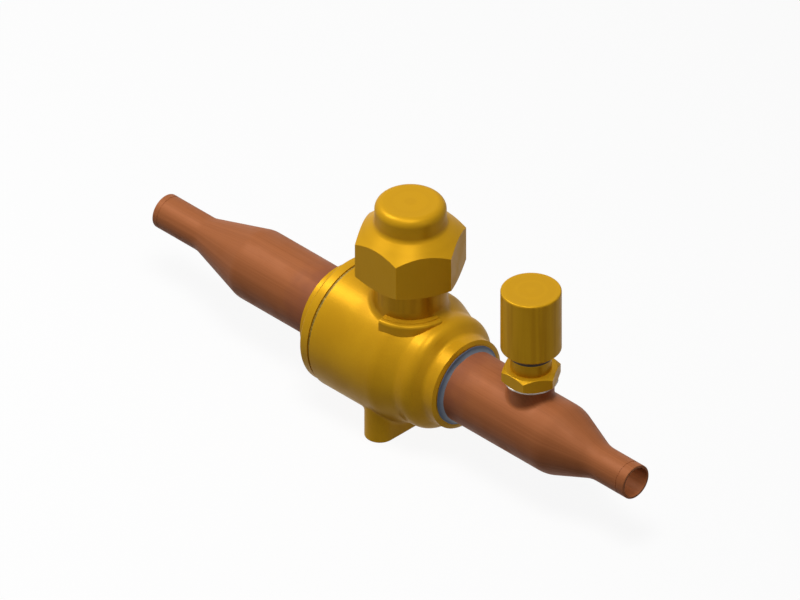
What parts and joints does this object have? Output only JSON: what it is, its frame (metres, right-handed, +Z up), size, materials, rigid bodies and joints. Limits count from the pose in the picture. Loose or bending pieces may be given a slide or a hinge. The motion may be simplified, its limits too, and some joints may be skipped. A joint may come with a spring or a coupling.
{
  "type": "refrigerant service valve",
  "caption": "Ball service valve with tapered copper solder stubs, brass body on a base pad, hexagon seal cap over the spindle and a capped side access port.",
  "frame": {"origin": "centre of the ball, where the flow axis and the spindle axis cross", "axes": "+X along the flow axis towards the end with the access port, +Z up the spindle towards the seal cap"},
  "size_m": [0.1999, 0.0424, 0.0792],
  "materials": {
    "body_brass": "bead blasted casting with turned faces",
    "cap_brass": "turned and tumbled",
    "port_brass": "turned",
    "weld_metal": "dull weld bead",
    "copper": "satin drawn copper",
    "braze": "dull silver braze",
    "ball_chrome": "polished",
    "seat_plastic": "white fluoropolymer",
    "seal_rubber": "black",
    "stem_steel": "turned",
    "plate_steel": "zinc plated",
    "gasket_grey": "grey fibre-filled",
    "core_brass": "turned",
    "core_plastic": "white"
  },
  "bodies": {
    "valve": {"valve_body": "body_brass", "end_closure": "body_brass", "closure_weld": "weld_metal", "left_tube": "copper", "right_tube": "copper", "left_braze_ring": "braze", "right_braze_ring": "braze", "left_ball_seat": "seat_plastic", "right_ball_seat": "seat_plastic", "stem_thrust_washer": "seat_plastic", "access_port": "port_brass", "port_braze_ring": "braze", "core_body": "core_brass", "core_gasket": "core_plastic", "core_spring": "plate_steel"},
    "stem": {"stem": "stem_steel", "ball": "ball_chrome", "lower_stem_seal": "seal_rubber", "upper_stem_seal": "seal_rubber", "stop_plate": "plate_steel", "stem_retaining_ring": "plate_steel"},
    "seal_cap_gasket": {"seal_cap_gasket": "gasket_grey"},
    "seal_cap": {"seal_cap": "cap_brass"},
    "port_cap_seal": {"port_cap_seal": "gasket_grey"},
    "port_cap": {"port_cap": "cap_brass"},
    "core_pin": {"core_pin": "core_brass", "core_pin_seal": "seal_rubber"}
  },
  "joints": [
    {"name": "stem_turn", "type": "hinge", "parent": "valve", "child": "stem", "pos_m": [0, 0, 0], "axis": [0, 0, -1], "range_deg": [0, 90]},
    {"name": "seal_cap_rise", "type": "slide", "parent": "valve", "child": "seal_cap_gasket", "axis": [0, 0, 1], "range_m": [0, 0.0211]},
    {"name": "seal_cap_turn", "type": "hinge", "parent": "seal_cap_gasket", "child": "seal_cap", "pos_m": [0, 0, 0.0415], "axis": [0, 0, 1], "range_deg": [0, 5040]},
    {"name": "port_cap_rise", "type": "slide", "parent": "valve", "child": "port_cap_seal", "axis": [0, 0, 1], "range_m": [0, 0.0179]},
    {"name": "port_cap_turn", "type": "hinge", "parent": "port_cap_seal", "child": "port_cap", "pos_m": [0.0512, 0, 0.0279], "axis": [0, 0, 1], "range_deg": [0, 5040]},
    {"name": "core_pin_press", "type": "slide", "parent": "valve", "child": "core_pin", "axis": [0, 0, -1], "range_m": [0, 0.0012], "stiffness_N_per_m": 1200, "springref_m": -0.003, "deforming": ["core_spring"]}
  ],
  "couplings": [
    {"joint": "seal_cap_rise", "follows": "seal_cap_turn", "m_per_rad": 0.00023873},
    {"joint": "port_cap_rise", "follows": "port_cap_turn", "m_per_rad": 0.00020213}
  ]
}
